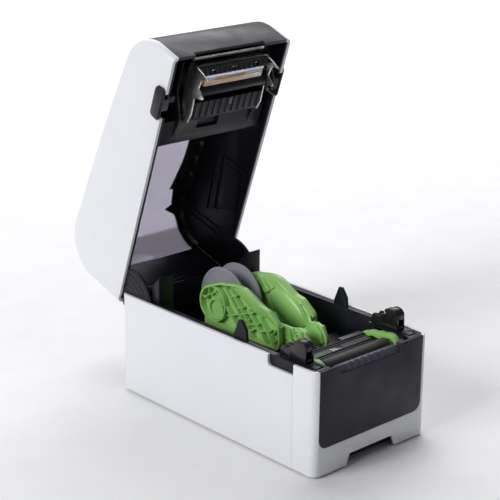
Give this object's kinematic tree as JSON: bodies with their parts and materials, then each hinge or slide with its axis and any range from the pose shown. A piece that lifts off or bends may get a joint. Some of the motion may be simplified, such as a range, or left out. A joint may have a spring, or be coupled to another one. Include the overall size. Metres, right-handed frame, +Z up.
{
  "type": "label printer",
  "caption": "Desktop label printer with its deep lid open, showing the roll holder, platen roller and print head.",
  "frame": {"origin": "centre of the base's footprint on the table, on the plane of the four rubber feet", "axes": "+Z up, -Y towards the front where the labels come out, +X to the right seen from the front"},
  "size_m": [0.1148, 0.2627, 0.2701],
  "materials": {
    "white_plastic": "satin white ABS",
    "nose_grey": "satin dark grey ABS",
    "panel_dark": "fine matt charcoal ABS",
    "chute_grey": "satin grey ABS",
    "black_plastic": "satin black ABS",
    "black_trim": "semi-gloss black",
    "tab_grey": "semi-gloss grey",
    "green_plastic": "satin green POM",
    "disc_grey": "matt grey POM",
    "gear_plastic": "natural POM",
    "rubber": "soft matt rubber",
    "steel": "zinc-plated steel",
    "aluminium": "extruded",
    "brass": "turned",
    "motor_steel": "black coated steel",
    "pcb_green": "solder mask",
    "port_metal": "tinned steel",
    "ceramic": "glazed ceramic",
    "smoked_window": "smoked transparent polycarbonate",
    "lens": "clear light pipe"
  },
  "bodies": {
    "base": {"main_chassis": "black_plastic", "bottom_plate": "black_plastic", "rubber_feet": "rubber", "bottom_screws": "steel", "left_side_cover": "white_plastic", "right_side_cover": "white_plastic", "front_cover": "white_plastic", "front_panel": "panel_dark", "exit_chute": "chute_grey", "rear_panel": "black_plastic", "platen_frame": "black_plastic", "left_latch_post": "black_trim", "right_latch_post": "black_trim", "rear_posts": "black_plastic", "paper_guide_plate": "black_plastic", "media_sensor": "lens", "platen_bearings": "steel", "stepper_motor": "motor_steel", "main_board": "pcb_green", "power_jack": "black_plastic", "usb_port": "port_metal", "network_port": "port_metal", "hinge_pins": "steel"},
    "platen": {"platen_shaft": "steel", "platen_rubber": "rubber", "platen_gear": "gear_plastic"},
    "idler": {"idler_gear": "gear_plastic"},
    "motor_rotor": {"motor_pinion": "brass"},
    "left_lever": {"left_platen_lever": "green_plastic"},
    "right_lever": {"right_platen_lever": "green_plastic"},
    "left_arm": {"left_roll_arm": "green_plastic", "left_arm_rack": "black_plastic"},
    "right_arm": {"right_roll_arm": "green_plastic", "right_arm_rack": "black_plastic"},
    "arm_gear": {"arm_pinion": "gear_plastic"},
    "left_roll_disc": {"left_disc": "disc_grey"},
    "right_roll_disc": {"right_disc": "disc_grey"},
    "lid": {"lid_left_side": "white_plastic", "lid_right_side": "white_plastic", "lid_nose_cover": "nose_grey", "lid_rear_frame": "nose_grey", "lid_window": "smoked_window", "lid_liner": "black_plastic", "window_bezel": "black_plastic", "tear_bar": "steel", "head_module": "black_plastic", "upper_guide": "black_plastic", "guide_lens": "lens", "panel_board": "pcb_green", "head_springs": "steel", "lid_screws": "steel"},
    "head": {"head_bracket": "steel", "heat_sink": "aluminium", "print_head": "ceramic", "head_cover": "black_plastic"},
    "release": {"left_release_tab": "tab_grey", "right_release_tab": "tab_grey", "release_shaft": "steel"},
    "power_key": {"power_button": "tab_grey"},
    "feed_key": {"feed_button": "tab_grey"}
  },
  "joints": [
    {"name": "lid_hinge", "type": "hinge", "parent": "base", "child": "lid", "pos_m": [0, 0.098, 0.0702], "axis": [1, 0, 0], "range_deg": [0, 70.9]},
    {"name": "platen_spin", "type": "hinge", "parent": "base", "child": "platen", "pos_m": [0, -0.0836, 0.0674], "axis": [1, 0, 0], "continuous": true},
    {"name": "idler_spin", "type": "hinge", "parent": "base", "child": "idler", "pos_m": [0.043, -0.0786, 0.0539], "axis": [1, 0, 0], "continuous": true},
    {"name": "motor_spin", "type": "hinge", "parent": "base", "child": "motor_rotor", "pos_m": [0.043, -0.0806, 0.04146], "axis": [1, 0, 0], "continuous": true},
    {"name": "left_lever_turn", "type": "hinge", "parent": "base", "child": "left_lever", "pos_m": [-0.0362, -0.061, 0.0682], "axis": [1, 0, 0], "range_deg": [-55, 0]},
    {"name": "right_lever_turn", "type": "hinge", "parent": "base", "child": "right_lever", "pos_m": [0.0362, -0.061, 0.0682], "axis": [1, 0, 0], "range_deg": [-55, 0]},
    {"name": "left_arm_slide", "type": "slide", "parent": "base", "child": "left_arm", "axis": [-1, 0, 0], "range_m": [0, 0.0255]},
    {"name": "right_arm_slide", "type": "slide", "parent": "base", "child": "right_arm", "axis": [1, 0, 0], "range_m": [0, 0.0255]},
    {"name": "arm_pinion_spin", "type": "hinge", "parent": "base", "child": "arm_gear", "pos_m": [0, 0.041, 0.0067], "axis": [0, 0, 1], "range_deg": [-183, 0]},
    {"name": "left_disc_spin", "type": "hinge", "parent": "left_arm", "child": "left_roll_disc", "pos_m": [-0.0072, 0.041, 0.076], "axis": [1, 0, 0], "continuous": true},
    {"name": "right_disc_spin", "type": "hinge", "parent": "right_arm", "child": "right_roll_disc", "pos_m": [0.0072, 0.041, 0.076], "axis": [1, 0, 0], "continuous": true},
    {"name": "head_tilt", "type": "hinge", "parent": "lid", "child": "head", "pos_m": [0, 0.05785, 0.21609], "axis": [1, 0, 0], "range_deg": [-7.3, 0]},
    {"name": "release_turn", "type": "hinge", "parent": "lid", "child": "release", "pos_m": [0, 0.06246, 0.25473], "axis": [1, 0, 0], "range_deg": [0, 6], "stiffness_Nm_per_rad": 1, "springref_deg": -5.73},
    {"name": "power_press", "type": "slide", "parent": "lid", "child": "power_key", "axis": [0, -0.9449, -0.3272], "range_m": [0, 0.0008], "stiffness_N_per_m": 300, "springref_m": -0.0008},
    {"name": "feed_press", "type": "slide", "parent": "lid", "child": "feed_key", "axis": [0, -0.9449, -0.3272], "range_m": [0, 0.0008], "stiffness_N_per_m": 300, "springref_m": -0.0008}
  ],
  "couplings": [
    {"joint": "idler_spin", "follows": "platen_spin", "ratio": -0.6},
    {"joint": "motor_spin", "follows": "platen_spin", "ratio": 1.5},
    {"joint": "head_tilt", "follows": "lid_hinge", "ratio": -0.10155},
    {"joint": "right_arm_slide", "follows": "left_arm_slide", "ratio": 1},
    {"joint": "arm_pinion_spin", "follows": "left_arm_slide", "rad_per_m": -125}
  ]
}
